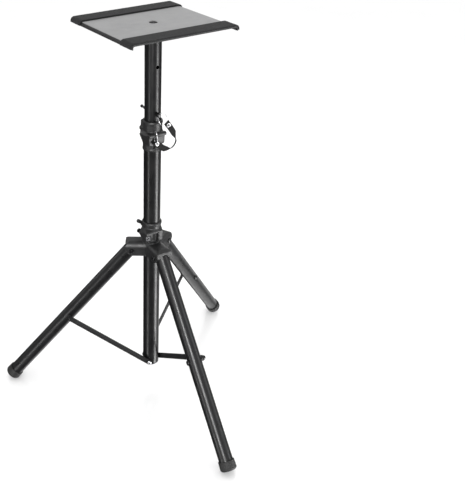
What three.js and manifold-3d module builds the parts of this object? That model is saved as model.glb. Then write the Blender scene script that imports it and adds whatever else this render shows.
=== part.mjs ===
// Tripod stand with a square speaker platform. Millimetres, +Z up, floor at z = 0.
import * as THREE from 'three';
import { ConvexGeometry } from 'three/addons/geometries/ConvexGeometry.js';
import { mergeVertices } from 'three/addons/utils/BufferGeometryUtils.js';
import Module from 'manifold-3d';

const wasm = await Module();
wasm.setup();

// ---- driving dimensions -------------------------------------------------
const DEG = Math.PI / 180;
const GAP = 0.3;                                        // air between neighbouring solids
const POST = { r: 18.1, ri: 17.05, z0: 58.8, z1: 653 };  // lower tube
const POLE = { r: 16.75, ri: 15.6, z0: 74, z1: 856.4 };  // sliding tube
const HOLE = { r: 3.6, z: 680, above: 97.5, travel: 470, steps: 6 };
const PLATE = { w: 232, d: 222, top: 862.4, t: 2, flange: 8, bend: 5 };
const STRIP = { w: 38, t: 3.2, wrap: 7 };
const TURN = -4 * DEG;                                  // tripod turned on the post
const LEGS = { front: 270 * DEG, rear: 30 * DEG, left: 150 * DEG };
const LEAN = 38.85 * DEG;                               // leg angle from vertical
const PIVOT = { r: 42.7, z: 366.2 };
const LEG = { r: 15, ri: 13.8, above: 6, rim: 438.4 };
const FOOT = { r: 17.6, round: 5, rim: 17.0 };
const TIE = { s: 229.2, r: 3, z: 65 };                  // brace ends: along the leg, on the post
const BRACE = { w: 12, t: 2.5, face: 18.5 };
const HOOD = { in: 15.6, out: 19.2, back: 26.9, x1: 56, z0: 353.8, z1: 385.5, ball: 16.7 };
const CLAMP = { screwX: -21.3, screwZ: 403.7 };         // clamp screw of the hub
const KNOB = { collar: 633.4, hub: 406.7 };             // heights of the two locking knobs

// ---- helpers --------------------------------------------------------------
const group = new THREE.Group();
group.name = 'speaker_tripod_stand';
const V = (x, y, z) => new THREE.Vector3(x, y, z);

function toManifold(geometry) {
  let g = geometry.clone();
  g.deleteAttribute('normal');
  g.deleteAttribute('uv');
  g = mergeVertices(g, 1e-4);
  return new wasm.Manifold(new wasm.Mesh({
    numProp: 3,
    vertProperties: new Float32Array(g.attributes.position.array),
    triVerts: new Uint32Array(g.index.array)
  }));
}
function fromManifold(solid) {
  const mesh = solid.getMesh();
  const g = new THREE.BufferGeometry();
  g.setAttribute('position', new THREE.BufferAttribute(new Float32Array(mesh.vertProperties), 3));
  g.setIndex(new THREE.BufferAttribute(new Uint32Array(mesh.triVerts), 1));
  const flat = g.toNonIndexed();
  flat.computeVertexNormals();
  return flat;
}
// profile points are [radius, height]; the lathe turns about +Z
function lathe(points, segments = 32) {
  const g = new THREE.LatheGeometry(points.map(([r, z]) => new THREE.Vector2(r, z)), segments);
  g.rotateX(Math.PI / 2);
  return g;
}
function ringSolid(ri, ro, z0, z1, segments = 32) {
  return lathe([[ri, z0], [ro, z0], [ro, z1], [ri, z1], [ri, z0]], segments);
}
function rod(r, z0, z1, segments = 24) {
  return lathe([[0, z0], [r, z0], [r, z1], [0, z1]], segments);
}
// turn a +Z shape so that it points along +Y, its height 0 at y = 0
function alongY(g) { g.rotateX(-Math.PI / 2); return g; }
function box(x0, x1, y0, y1, z0, z1) {
  const g = new THREE.BoxGeometry(x1 - x0, y1 - y0, z1 - z0);
  g.translate((x0 + x1) / 2, (y0 + y1) / 2, (z0 + z1) / 2);
  return g;
}
function arc(cx, cy, r, a0, a1, n) {
  const out = [];
  for (let i = 0; i <= n; i++) {
    const a = (a0 + (a1 - a0) * i / n) * DEG;
    out.push([cx + r * Math.cos(a), cy + r * Math.sin(a)]);
  }
  return out;
}
function shapeOf(points, holes = []) {
  const s = new THREE.Shape(points.map(([x, y]) => new THREE.Vector2(x, y)));
  for (const [x, y, r] of holes) {
    const h = new THREE.Path();
    h.absarc(x, y, r, 0, Math.PI * 2, true);
    s.holes.push(h);
  }
  return s;
}
// extrude a drawing in X and Z along +Y from y0 to y1
function slabXZ(shape, y0, y1, curve = 8) {
  const g = new THREE.ExtrudeGeometry(shape, { depth: y1 - y0, bevelEnabled: false, curveSegments: curve });
  g.rotateX(Math.PI / 2);
  g.translate(0, y1, 0);
  return g;
}
// extrude a drawing in Y and Z along +X from x0 to x1
function slabYZ(shape, x0, x1, curve = 8) {
  const g = new THREE.ExtrudeGeometry(shape, { depth: x1 - x0, bevelEnabled: false, curveSegments: curve });
  g.applyMatrix4(new THREE.Matrix4().makeBasis(V(0, 1, 0), V(0, 0, 1), V(1, 0, 0)));
  g.translate(x0, 0, 0);
  return g;
}
function cut(base, ...tools) {
  let m = base instanceof THREE.BufferGeometry ? toManifold(base) : base;
  for (const t of tools) m = m.subtract(t instanceof THREE.BufferGeometry ? toManifold(t) : t);
  return m;
}
function join(base, ...more) {
  let m = base instanceof THREE.BufferGeometry ? toManifold(base) : base;
  for (const t of more) m = m.add(t instanceof THREE.BufferGeometry ? toManifold(t) : t);
  return m;
}
const finishes = {
  steel_black: { color: 0x202123, metalness: 0.5, roughness: 0.42 },
  plastic_black: { color: 0x1b1b1c, metalness: 0.0, roughness: 0.55 },
  rubber_black: { color: 0x161616, metalness: 0.0, roughness: 0.85 },
  plate_grey: { color: 0x8f9194, metalness: 0.2, roughness: 0.6 },
  foam_black: { color: 0x2a2a2b, metalness: 0.0, roughness: 1.0 },
  webbing_black: { color: 0x181818, metalness: 0.0, roughness: 0.9 },
  zinc: { color: 0xb9bbbd, metalness: 0.9, roughness: 0.3 }
};
function add(name, solid, finish, matrix) {
  const g = solid instanceof THREE.BufferGeometry ? solid : fromManifold(solid);
  if (matrix) g.applyMatrix4(matrix);
  const material = new THREE.MeshStandardMaterial(finishes[finish]);
  material.name = finish;
  const mesh = new THREE.Mesh(g, material);
  mesh.name = name;
  group.add(mesh);
}
// fastener pieces along +Y: dome head towards -Y, shank towards +Y
function boltY(yHead, headR, headH, shankR, yTip) {
  return alongY(lathe([
    [0, yHead - headH], [headR * 0.62, yHead - headH * 0.86], [headR, yHead - headH * 0.3],
    [headR, yHead], [shankR, yHead], [shankR, yTip - 0.6], [shankR - 0.6, yTip], [0, yTip]], 12));
}
function nutY(y0, y1, flats, holeR) {
  const hex = [];
  for (let i = 0; i < 6; i++) {
    const a = (30 + 60 * i) * DEG;
    hex.push([flats / Math.sqrt(3) * Math.cos(a), flats / Math.sqrt(3) * Math.sin(a)]);
  }
  return slabXZ(shapeOf(hex, [[0, 0, holeR]]), y0, y1, 6);
}

// ---- post, pole and platform ------------------------------------------------
add('centre_post', ringSolid(POST.ri, POST.r, POST.z0, POST.z1, 32), 'steel_black');
add('post_end_plug', lathe([[0, 55.8], ...arc(POST.r - 3, POST.z0, 3, -90, -8, 3), [POST.r, POST.z0 - GAP],
  [16.7, POST.z0 - GAP], [16.7, 68], [0, 68]], 24), 'plastic_black');

const holeZ = [HOLE.z + HOLE.above, HOLE.z];
for (let k = 1; k <= HOLE.steps; k++) holeZ.push(HOLE.z - HOLE.travel * k / HOLE.steps);
let pole = toManifold(ringSolid(POLE.ri, POLE.r, POLE.z0, POLE.z1, 32));
for (const z of holeZ) {
  const drill = alongY(rod(HOLE.r, -25, 25, 8));
  drill.translate(0, 0, z);
  pole = pole.subtract(toManifold(drill));
}
add('upper_pole', pole, 'steel_black');
add('pole_slide_bush', lathe([[0, 69], [16.98, 69], [16.98, POLE.z0 - GAP], [15.3, POLE.z0 - GAP],
  [15.3, 88], [0, 88]], 32), 'plastic_black');
add('pole_top_plug', cut(rod(15.3, 824, POLE.z1 - 0.4, 20), rod(3.3, 818, 875, 10)), 'plastic_black');

{ // pressed platform: sheet with the two side edges bent down
  const hw = PLATE.w / 2, b = PLATE.bend, t = PLATE.t, top = PLATE.top;
  const outer = [[-hw, top - PLATE.flange], ...arc(-hw + b, top - b, b, 180, 90, 4),
    ...arc(hw - b, top - b, b, 90, 0, 4), [hw, top - PLATE.flange], [hw - t, top - PLATE.flange],
    ...arc(hw - b, top - b, b - t, 0, 90, 4), ...arc(-hw + b, top - b, b - t, 90, 180, 4),
    [-hw + t, top - PLATE.flange]];
  const sheet = slabXZ(shapeOf(outer), -PLATE.d / 2, PLATE.d / 2);
  const dish = lathe([[0, top - 4], [3.6, top - 4], [3.6, top - 1.7], [7.4, top + 0.5], [0, top + 0.5]], 20);
  add('platform_plate', cut(sheet, dish), 'plate_grey');
  const s = PLATE.top + 0.15, st = STRIP.t;
  const strip = [[-hw - GAP - st, s - STRIP.wrap], ...arc(-hw + b, s - b + 0.15, b + GAP + st, 180, 90, 5),
    ...arc(hw - b, s - b + 0.15, b + GAP + st, 90, 0, 5), [hw + GAP + st, s - STRIP.wrap],
    [hw + GAP, s - STRIP.wrap], ...arc(hw - b, s - b + 0.15, b + GAP, 0, 90, 5),
    ...arc(-hw + b, s - b + 0.15, b + GAP, 90, 180, 5), [-hw - GAP, s - STRIP.wrap]];
  add('front_foam_strip', slabXZ(shapeOf(strip), -PLATE.d / 2, -PLATE.d / 2 + STRIP.w), 'foam_black');
  add('rear_foam_strip', slabXZ(shapeOf(strip), PLATE.d / 2 - STRIP.w, PLATE.d / 2), 'foam_black');
  const head = PLATE.top - 0.2;
  add('platform_screw', lathe([[0, 836], [3.0, 836], [3.0, head - 1.5], [5.6, head], [5.6, head + 0.9],
    [4.2, head + 2.0], [2.0, head + 2.0], [1.6, head + 0.9], [0, head + 0.9]], 16), 'steel_black');
  add('platform_washer', ringSolid(3.3, 19, POLE.z1 + GAP, PLATE.top - t - GAP, 24), 'zinc');
}

// ---- height collar and its locking knob ----------------------------------
// clamp block round the sleeve: a ring above and below, two front corners and a wing on each side
function clampHull(k) {
  const pts = [];
  for (let i = 0; i < 16; i++) {
    const a = i * 22.5 * DEG;
    pts.push(V(k.rTop * Math.cos(a), k.rTop * Math.sin(a), k.zTop));
    pts.push(V(k.rLow * Math.cos(a), k.rLow * Math.sin(a), k.zLow));
  }
  for (const x of [k.left, k.right]) {
    pts.push(V(x, k.front, k.zFront), V(x * 0.93, k.front, k.zFront - k.drop));
    pts.push(V(Math.sign(x) * k.wing, 12, k.zSide));
  }
  return toManifold(new ConvexGeometry(pts));
}
function halfRound(r, h, z, ri, segments = 24) {
  return toManifold(lathe([[ri, z - h], ...arc(r - h * 0.55, z, 1, -90, 90, 4)
    .map(([x, y]) => [r - h * 0.55 + (x - (r - h * 0.55)) * h * 0.55, z + (y - z) * h]),
    [ri, z + h], [ri, z - h]], segments));
}
// knob parts: the stud points towards -Y, the T handle stands upright then leans
function knobHandle(lean) {
  const stem = alongY(lathe([[0, 30], [6.5, 30], [7.2, 32], [6.4, 43], [4, 44], [0, 44]], 14));
  const bar = new THREE.CapsuleGeometry(4.4, 29, 3, 10);   // long axis is Y
  bar.rotateX(Math.PI / 2);
  bar.translate(0, 38, 0);
  const g = fromManifold(cut(join(stem, bar), alongY(rod(2.7, 20, 38, 12))));
  g.rotateY(lean);
  return g;
}
function stud(y0) {
  return alongY(lathe([[0, y0], [1.9, y0], [2.4, y0 + 0.8], [2.4, 37], [0, 37]], 14));
}
{
  const barrel = alongY(rod(4.6, -23, 18, 16)).rotateZ(-Math.PI / 2).translate(0, -20.5, 638.6);
  const body = join(ringSolid(16, 19.9, 602.4, 665, 32), halfRound(21.2, 4.2, 661, 16.4, 32),
    halfRound(20.8, 3.4, 603.4, 16.4, 32), barrel, clampHull({ left: -22.8, right: 16.2, front: -21.5, wing: 24.3,
      zTop: 643.2, zFront: 638.3, drop: 20, zSide: 634.4, zLow: 614.4, rTop: 19.9, rLow: 19.9 }),
    alongY(rod(7.5, 15, 27, 14)).translate(0, 0, KNOB.collar));
  add('height_collar', cut(body, rod(18.45, 586, 655, 32), rod(17.15, 646, 676, 32),
    box(-9.2, -6.0, -31, -16, 608, 631.8), alongY(rod(2.7, 10, 30, 12)).translate(0, 0, KNOB.collar),
    rod(1.25, 616, 656, 10).translate(-7.6, -19.4, 0)), 'plastic_black');
  const k = knobHandle(4 * DEG);
  k.translate(0, 0, KNOB.collar);
  add('collar_knob', k, 'plastic_black');
  add('collar_stud', stud(POST.r + GAP).translate(0, 0, KNOB.collar), 'zinc');
}

// ---- locking pin on its tether ---------------------------------------------
const pinEye = V(0, -22, HOLE.z);
const RING = { r: 14.8, wire: 0.75, e1: V(0.63, -0.235, -0.74).normalize(), e2: V(0.70, 0.58, 0.415) };
RING.e2.addScaledVector(RING.e1, -RING.e2.dot(RING.e1)).normalize();
RING.n = new THREE.Vector3().crossVectors(RING.e1, RING.e2);
RING.c = pinEye.clone().addScaledVector(RING.e1, RING.r);
const upperEye = pinEye.clone().addScaledVector(RING.e1, 2 * RING.r);
const lowerEye = V(-6.6, -26.4, 621.9);
const EDGE_ON = V(0.39, 0.835, -0.39);                  // the strap stands on edge along this line
{
  const shank = alongY(lathe([[0, -25.8], [3.0, -25.8], [4.6, -24.3], [4.6, -17.2], [3.2, -17.2],
    [3.2, 30.2], [2.2, 31.2], [2.2, 37.4], ...arc(0, 40.2, 3.4, -50, 80, 6), [0, 43.6]], 14)).translate(0, 0, HOLE.z);
  const eye = rod(1.8, -12, 12, 12);
  eye.applyQuaternion(new THREE.Quaternion().setFromUnitVectors(V(0, 0, 1), RING.e2));
  const at = pinEye.clone().addScaledVector(RING.e1, 0.6);
  eye.translate(at.x, at.y, at.z);
  add('locking_pin', cut(shank, eye), 'steel_black');
  const torus = new THREE.TorusGeometry(RING.r, RING.wire, 6, 28);
  torus.applyMatrix4(new THREE.Matrix4().makeBasis(RING.e1, RING.e2, RING.n));
  torus.translate(RING.c.x, RING.c.y, RING.c.z);
  add('pin_ring', torus, 'zinc');
}
function eyelet(at) {
  return alongY(ringSolid(3.2, 4.8, -1.4, -0.95, 20)).translate(at.x, at.y, at.z);
}
{
  const path = new THREE.CatmullRomCurve3([V(-12, -26.4, 626.6), lowerEye, V(2.6, -27, 613.8),
    V(11.2, -27.8, 608), V(22.6, -28.4, 604.9), V(32.6, -28.4, 609.4), V(37.8, -28.4, 618.8), V(36.4, -28.4, 629.2),
    V(28.9, -28.8, 643), upperEye, V(13, -29.4, 665.4)], false, 'centripetal');
  const n = 30, half = 6.3, thin = 0.7, pos = [], idx = [];
  for (let i = 0; i <= n; i++) {
    const u = i / n, p = path.getPointAt(u), t = path.getTangentAt(u);
    const flat = V(0, 1, 0).cross(t).normalize();
    const k = THREE.MathUtils.smoothstep(u, 0.22, 0.4) * (1 - THREE.MathUtils.smoothstep(u, 0.56, 0.76));
    const side = flat.clone().multiplyScalar(Math.cos(k * Math.PI / 2))
      .addScaledVector(EDGE_ON, Math.sin(k * Math.PI / 2));
    side.addScaledVector(t, -side.dot(t)).normalize();
    const up = side.clone().cross(t).normalize();
    for (const [a, b] of [[-1, -1], [1, -1], [1, 1], [-1, 1]]) {
      const q = p.clone().addScaledVector(side, a * half).addScaledVector(up, b * thin);
      pos.push(q.x, q.y, q.z);
    }
  }
  for (let i = 0; i < n; i++) {
    for (let j = 0; j < 4; j++) {
      const a = 4 * i + j, b = 4 * i + (j + 1) % 4;
      idx.push(a, b + 4, b, a, a + 4, b + 4);
    }
  }
  idx.push(0, 1, 2, 0, 2, 3, 4 * n, 4 * n + 2, 4 * n + 1, 4 * n, 4 * n + 3, 4 * n + 2);
  const ribbon = new THREE.BufferGeometry();
  ribbon.setAttribute('position', new THREE.Float32BufferAttribute(pos, 3));
  ribbon.setIndex(idx);
  const punch = at => alongY(rod(2.6, -6, 6, 14)).translate(at.x, at.y, at.z);
  add('tether_strap', cut(ribbon, punch(lowerEye), punch(upperEye)), 'webbing_black');
  add('upper_strap_eyelet', eyelet(upperEye), 'zinc');
  add('lower_strap_eyelet', eyelet(lowerEye), 'zinc');
  const loop = new THREE.CatmullRomCurve3([[-19.4, 627.3], [-19.4, 635.3], [-19.4, 643.7], [-20.7, 647],
    [-23.4, 647.4], [-27, 643.3], [-29.4, 635.3], [-30, 627.3], [-29, 621.9], [-24.3, 621.3]]
    .map(([y, z]) => V(-7.6, y, z)), true, 'centripetal');
  add('tether_ring', new THREE.TubeGeometry(loop, 28, 0.75, 6, true), 'zinc');
}

// leg frame: +Z runs down the open leg from its hinge
const sinL = Math.sin(LEAN), cosL = Math.cos(LEAN);
const ringS = (PIVOT.z - (FOOT.r - FOOT.round) * sinL - FOOT.round) / cosL;
const legEnd = ringS + FOOT.round;
function alongLeg() {
  const m = new THREE.Matrix4().makeBasis(V(-cosL, 0, -sinL), V(0, 1, 0), V(sinL, 0, -cosL));
  return m.setPosition(PIVOT.r, 0, PIVOT.z);
}

// ---- tripod hub ---------------------------------------------------------------
const turnZ = a => new THREE.Matrix4().makeRotationZ(a);
function hoodOuter() {
  const z1 = HOOD.z1, o = HOOD.out, r = 12;
  const section = shapeOf([[-o, 345], [o, 345], ...arc(o - r, z1 - r, r, 0, 90, 6),
    ...arc(-o + r, z1 - r, r, 90, 180, 6)]);
  const side = shapeOf([[12, HOOD.z0], [43, HOOD.z0], [50.5, 357.8], [57.8, 370], [HOOD.x1, 381], [49, 384.7],
    [43, 386.5], [12, 386.5]]);
  return toManifold(slabYZ(section, 11, 62)).intersect(toManifold(slabXZ(side, -25, 25)));
}
// room for the leg: a bore along the open leg, a ball at the hinge, and the space it folds through
function hoodInner() {
  const o = HOOD.in, lean = Math.tan(LEAN), far = 70;
  const bore = rod(o, 0, far, 28).applyMatrix4(alongLeg());
  const ball = new THREE.SphereGeometry(HOOD.ball, 28, 16).rotateX(Math.PI / 2).translate(PIVOT.r, 0, PIVOT.z);
  const swing = slabXZ(shapeOf([[HOOD.back, PIVOT.z + 6.8], [HOOD.back, PIVOT.z - far],
    [PIVOT.r + far * lean, PIVOT.z - far], [PIVOT.r - 6.8 * lean, PIVOT.z + 6.8]]), -o, o);
  const hole = alongY(rod(3.3, -30, 30, 16));
  hole.translate(PIVOT.r, 0, PIVOT.z);
  return join(bore, ball, swing, hole);
}
{
  let hub = join(ringSolid(16, 21.2, 354.4, 406.6, 32), ringSolid(16, 19.9, 394.6, 431, 32),
    halfRound(21.5, 4.3, 430, 16.4, 32), clampHull({ left: -25.7, right: 14.3, front: -22.9, wing: 25.7,
      zTop: 420, zFront: 415.3, drop: 22, zSide: 403.6, zLow: 388.5, rTop: 19.9, rLow: 21.2 }),
    alongY(rod(7.5, 15, 27, 14)).translate(0, 0, KNOB.hub));
  for (const a of Object.values(LEGS)) hub = hub.add(toManifold(fromManifold(hoodOuter()).applyMatrix4(turnZ(a))));
  for (const a of Object.values(LEGS)) hub = hub.subtract(toManifold(fromManifold(hoodInner()).applyMatrix4(turnZ(a))));
  // raised U rim round the front slit, then the recesses, the screw hole and the nut pocket
  const rim = shapeOf([[-4.6, 412.8], ...arc(0, 393.7, 4.6, 180, 360, 8), [4.6, 412.8], [2.9, 412.8],
    ...arc(0, 393.7, 2.9, 360, 180, 8), [-2.9, 412.8]]);
  hub = hub.add(toManifold(slabXZ(rim, -24.2, -19).translate(0.4, 0, 0)));
  hub = cut(hub, rod(18.45, 330, 445, 32), box(-0.9, 1.7, -30, -14, 392, 411.8),
    box(-12, -6.9, -30, -21.3, 395.6, 411.2), alongY(rod(2.7, 10, 30, 12)).translate(0, 0, KNOB.hub),
    alongY(rod(2.4, -30, 40, 12)).translate(CLAMP.screwX, 0, CLAMP.screwZ),
    box(-30, -15.8, -30, -20.4, CLAMP.screwZ - 5.2, CLAMP.screwZ + 5.2));
  add('tripod_hub', hub, 'plastic_black', turnZ(TURN));
  const k = knobHandle(-55 * DEG);
  k.translate(0, 0, KNOB.hub);
  add('hub_knob', k, 'plastic_black', turnZ(TURN));
  add('hub_stud', stud(POST.r + GAP).translate(0, 0, KNOB.hub), 'zinc', turnZ(TURN));
  const screw = alongY(lathe([[0, -23.9], [1.5, -23.9], [2.05, -23.3], [2.05, 16.8], [5.0, 16.8], [5.0, 19.4],
    [3.6, 20.4], [0, 20.4]], 14)).translate(CLAMP.screwX, 0, CLAMP.screwZ);
  add('hub_clamp_screw', screw, 'steel_black', turnZ(TURN));
  const x = CLAMP.screwX, z = CLAMP.screwZ, h = 4.8;
  const square = shapeOf([[x - h, z - h], [x + h, z - h], [x + h, z + h], [x - h, z + h]], [[x, z, 2.4]]);
  add('hub_clamp_nut', slabXZ(square, -23.2, -20.7, 6), 'zinc', turnZ(TURN));
}

// ---- three legs with their braces -------------------------------------------------
function atPivot(g) { return g.translate(PIVOT.r, 0, PIVOT.z); }
const tieOnLeg = { x: PIVOT.r + TIE.s * sinL, z: PIVOT.z - TIE.s * cosL };
function atTie(g) { return g.translate(tieOnLeg.x, 0, tieOnLeg.z); }

for (const [name, azimuth] of Object.entries(LEGS)) {
  const place = turnZ(azimuth + TURN);
  const drill = s => alongY(rod(3.2, -22, 22, 10)).translate(0, 0, s);
  const onLeg = place.clone().multiply(alongLeg());
  add(name + '_leg_tube', cut(ringSolid(LEG.ri, LEG.r, -LEG.above, LEG.rim + 6.4, 24), drill(0), drill(TIE.s)),
    'steel_black', onLeg);
  add(name + '_leg_plug', cut(rod(13.4, -LEG.above + 0.2, 16, 20), drill(0)), 'plastic_black', onLeg);
  add(name + '_foot', lathe([[0, legEnd], [FOOT.r - FOOT.round, legEnd],
    ...arc(FOOT.r - FOOT.round, ringS, FOOT.round, 90, 0, 4), [FOOT.rim, LEG.rim], [LEG.r + GAP, LEG.rim],
    [LEG.r + GAP, LEG.rim + 6.7], [0, LEG.rim + 6.7]].reverse(), 24), 'rubber_black', onLeg);
  add(name + '_pivot_bolt', atPivot(boltY(-HOOD.out - GAP, 6, 3.6, 3.0, HOOD.out + 5.7)), 'steel_black', place);
  add(name + '_pivot_nut', atPivot(nutY(HOOD.out + GAP, HOOD.out + 4.3, 10, 3.3)), 'steel_black', place);
  add(name + '_brace_bolt', atTie(boltY(-LEG.r - GAP, 5.8, 3.8, 2.9, BRACE.face + 7.6)), 'steel_black', place);
  add(name + '_brace_spacer', atTie(alongY(ringSolid(3.2, 5.2, LEG.r + GAP, BRACE.face - GAP, 16))),
    'plastic_black', place);
  const from = new THREE.Vector2(TIE.r, TIE.z), to = new THREE.Vector2(tieOnLeg.x, tieOnLeg.z);
  const length = from.distanceTo(to), angle = Math.atan2(to.y - from.y, to.x - from.x), hw = BRACE.w / 2;
  const bar = slabXZ(shapeOf([...arc(0, 0, hw, 90, 270, 8), ...arc(length, 0, hw, -90, 90, 8)],
    [[0, 0, 2.7], [length, 0, 3.2]]), BRACE.face, BRACE.face + BRACE.t, 5);
  const rib = box(16, length - 18, BRACE.face + BRACE.t - 0.5, BRACE.face + BRACE.t + 0.9, -1.7, 1.7);
  const brace = fromManifold(join(bar, rib)).rotateY(-angle).translate(TIE.r, 0, TIE.z);
  add(name + '_brace', brace, 'steel_black', place);
  add(name + '_brace_nut', atTie(nutY(BRACE.face + BRACE.t + GAP, BRACE.face + BRACE.t + 4, 9, 3.2)),
    'steel_black', place);
  const rivet = alongY(lathe([[0, BRACE.face], [2.4, BRACE.face], [2.4, BRACE.face + 2.8], [4.8, BRACE.face + 2.8],
    [4.4, BRACE.face + 4.6], [2.4, BRACE.face + 5.5], [0, BRACE.face + 5.7]], 14)).translate(TIE.r, 0, TIE.z);
  add(name + '_brace_rivet', rivet, 'zinc', place);
}

// ---- origin at the centre of the footprint, on the floor ---------------------------
const whole = new THREE.Box3().setFromObject(group);
const shift = V(-(whole.min.x + whole.max.x) / 2, -(whole.min.y + whole.max.y) / 2, -whole.min.z);
for (const mesh of group.children) mesh.geometry.translate(shift.x, shift.y, shift.z);

export default group;
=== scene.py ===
"""Tripod speaker stand: its looks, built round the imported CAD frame.

Row frame in metres, +Z up, floor at z = 0.
"""
import math

import bmesh
import bpy
from mathutils import Matrix, Vector, noise


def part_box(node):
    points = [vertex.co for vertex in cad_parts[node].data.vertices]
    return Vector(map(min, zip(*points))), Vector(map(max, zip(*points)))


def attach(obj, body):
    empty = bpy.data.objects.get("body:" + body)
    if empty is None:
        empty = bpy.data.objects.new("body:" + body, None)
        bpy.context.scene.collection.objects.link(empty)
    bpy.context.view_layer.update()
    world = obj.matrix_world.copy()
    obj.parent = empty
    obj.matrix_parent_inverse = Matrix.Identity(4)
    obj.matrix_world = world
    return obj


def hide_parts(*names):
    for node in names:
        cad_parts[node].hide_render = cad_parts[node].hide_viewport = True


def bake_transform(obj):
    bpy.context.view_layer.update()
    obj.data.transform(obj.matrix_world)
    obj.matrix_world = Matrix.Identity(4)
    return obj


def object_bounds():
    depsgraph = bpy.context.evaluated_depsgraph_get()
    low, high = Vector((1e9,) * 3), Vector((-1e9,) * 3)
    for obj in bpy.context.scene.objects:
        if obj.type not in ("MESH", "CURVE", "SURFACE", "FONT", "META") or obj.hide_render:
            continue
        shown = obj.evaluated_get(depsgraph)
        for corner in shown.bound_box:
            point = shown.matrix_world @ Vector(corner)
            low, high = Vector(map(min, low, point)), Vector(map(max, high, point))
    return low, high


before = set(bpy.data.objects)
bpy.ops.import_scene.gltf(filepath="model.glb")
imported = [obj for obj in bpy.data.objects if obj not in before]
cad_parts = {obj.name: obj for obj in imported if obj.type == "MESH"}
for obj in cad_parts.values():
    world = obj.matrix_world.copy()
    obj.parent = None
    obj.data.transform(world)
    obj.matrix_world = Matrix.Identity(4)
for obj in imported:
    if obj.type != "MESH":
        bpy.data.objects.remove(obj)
cad_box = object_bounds()
scene = bpy.context.scene

# ---- sizes in millimetres about the post's axis, floor at 0: the CAD part's own numbers ----
MM = 0.001
POST = dict(ri=17.05, r=18.1, z0=58.8, z1=653.0)
POLE = dict(ri=15.6, r=16.75, z0=74.0, z1=856.4)
HOLE_R, HOLE_Z, HOLE_ABOVE, TRAVEL, STEPS = 3.6, 680.0, 97.5, 470.0, 6
PLATE = dict(w=232.0, d=222.0, top=862.4, t=2.0, flange=8.0, bend=5.0)
DISH = dict(r=9.5, edge=3.5, depth=1.8)     # the round dish pressed in the middle of the plate
STRIP = dict(w=38.0, t=3.2, wrap=7.0)
TURN = -4.0
LEGS = {"front": 270.0, "rear": 30.0, "left": 150.0}
LEAN = math.radians(38.85)
PIVOT_R, PIVOT_Z = 42.7, 366.2
LEG = dict(ri=13.8, r=15.0, above=6.0, rim=438.4)
FOOT_R, FOOT_ROUND = 17.6, 5.0
TIE_S, TIE_R, TIE_Z = 229.2, 3.0, 65.0
BRACE_W, BRACE_T, BRACE_Y = 12.0, 2.5, 18.5
HOOD_OUT = 19.2
GAP = 0.3                                # clearance between pieces that touch
COLLAR_KNOB_Z, HUB_KNOB_Z = 633.4, 406.7

post_lo, post_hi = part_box("centre_post")
AXIS = Vector(((post_lo.x + post_hi.x) / 2, (post_lo.y + post_hi.y) / 2, post_lo.z - POST["z0"] * MM))
TO_ROW = Matrix.Translation(AXIS) @ Matrix.Scale(MM, 4)
SAME = Matrix.Identity(4)
ALONG_Y = Matrix.Rotation(math.radians(-90), 4, "X")      # turns a +Z drawing to point along +Y

# ---- camera: the view from the front left, above the platform ----
HEADING, PITCH, ROLL = math.radians(31.82), math.radians(26.74), math.radians(-0.27)
FROM_POST = Vector((-813.6, -1233.4, 1261.2)) * MM         # from the foot of the post's axis
cam_data = bpy.data.cameras.new("camera")
cam = bpy.data.objects.new("camera", cam_data)
scene.collection.objects.link(cam)
scene.camera = cam
right = Vector((math.cos(HEADING), -math.sin(HEADING), 0))
ahead = Vector((math.sin(HEADING) * math.cos(PITCH), math.cos(HEADING) * math.cos(PITCH), -math.sin(PITCH)))
upward = right.cross(ahead)
cam_x = right * math.cos(ROLL) + upward * math.sin(ROLL)
cam_y = upward * math.cos(ROLL) - right * math.sin(ROLL)
eye = AXIS + FROM_POST
cam.matrix_world = Matrix((
    (cam_x.x, cam_y.x, -ahead.x, eye.x),
    (cam_x.y, cam_y.y, -ahead.y, eye.y),
    (cam_x.z, cam_y.z, -ahead.z, eye.z),
    (0, 0, 0, 1)))
cam_data.sensor_width = 36.0
cam_data.lens = 56.96
cam_data.shift_x, cam_data.shift_y = 0.20, -0.13


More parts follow.
